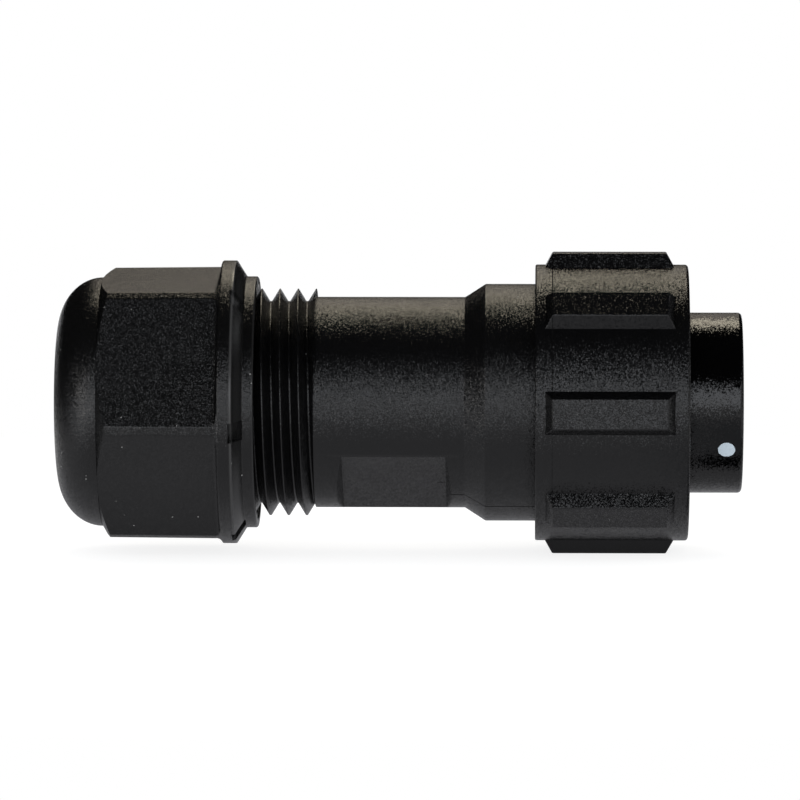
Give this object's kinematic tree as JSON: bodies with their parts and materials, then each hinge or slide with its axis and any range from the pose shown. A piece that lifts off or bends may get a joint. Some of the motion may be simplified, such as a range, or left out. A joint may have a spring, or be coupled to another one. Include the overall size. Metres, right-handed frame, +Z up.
{
  "type": "threaded circular connector",
  "caption": "Circular cable plug: domed hexagon gland nut on a coarse thread, moulded shell with spanner flats, turning ribbed coupling ring and a shrouded pin insert.",
  "frame": {"origin": "middle of the plug's length, on the surface it lies on, below the axis", "axes": "+X along the plug's axis towards the mating end, +Z up, the gland at -X"},
  "size_m": [0.0752, 0.0332, 0.0331],
  "materials": {
    "nut_plastic": "black moulded polyamide with a fine grain",
    "shell_plastic": "black moulded polyamide with a fine grain",
    "ring_plastic": "black moulded polyamide with a fine grain",
    "insert_plastic": "black moulded plastic with a satin gloss",
    "cage_plastic": "black moulded polyamide",
    "seal_rubber": "black rubber",
    "contact_brass": "turned, gold flashed",
    "screw_steel": "plated"
  },
  "bodies": {
    "shell": {"rear_shell": "shell_plastic", "plug_insert": "insert_plastic", "contact_block": "insert_plastic", "contact_retainer": "insert_plastic", "insert_o_ring": "seal_rubber", "face_gasket": "seal_rubber", "contact_1": "contact_brass", "contact_2": "contact_brass", "contact_3": "contact_brass", "contact_4": "contact_brass", "contact_5": "contact_brass", "contact_6": "contact_brass", "terminal_screw_1": "screw_steel", "terminal_screw_2": "screw_steel", "terminal_screw_3": "screw_steel", "terminal_screw_4": "screw_steel", "terminal_screw_5": "screw_steel", "terminal_screw_6": "screw_steel"},
    "coupling": {"coupling_ring": "ring_plastic"},
    "gland_cage": {"clamping_cage": "cage_plastic", "cable_seal": "seal_rubber"},
    "gland": {"gland_nut": "nut_plastic"}
  },
  "joints": [
    {"name": "coupling_turn", "type": "hinge", "parent": "shell", "child": "coupling", "pos_m": [0.0233, 0, 0.01655], "axis": [1, 0, 0], "continuous": true},
    {"name": "gland_slide", "type": "slide", "parent": "shell", "child": "gland_cage", "axis": [1, 0, 0], "range_m": [-0.0075, 0.0045]},
    {"name": "gland_turn", "type": "hinge", "parent": "gland_cage", "child": "gland", "pos_m": [-0.0266, 0, 0.01655], "axis": [1, 0, 0], "range_deg": [-1350, 810]}
  ],
  "couplings": [
    {"joint": "gland_slide", "follows": "gland_turn", "m_per_rad": 0.00031831}
  ]
}
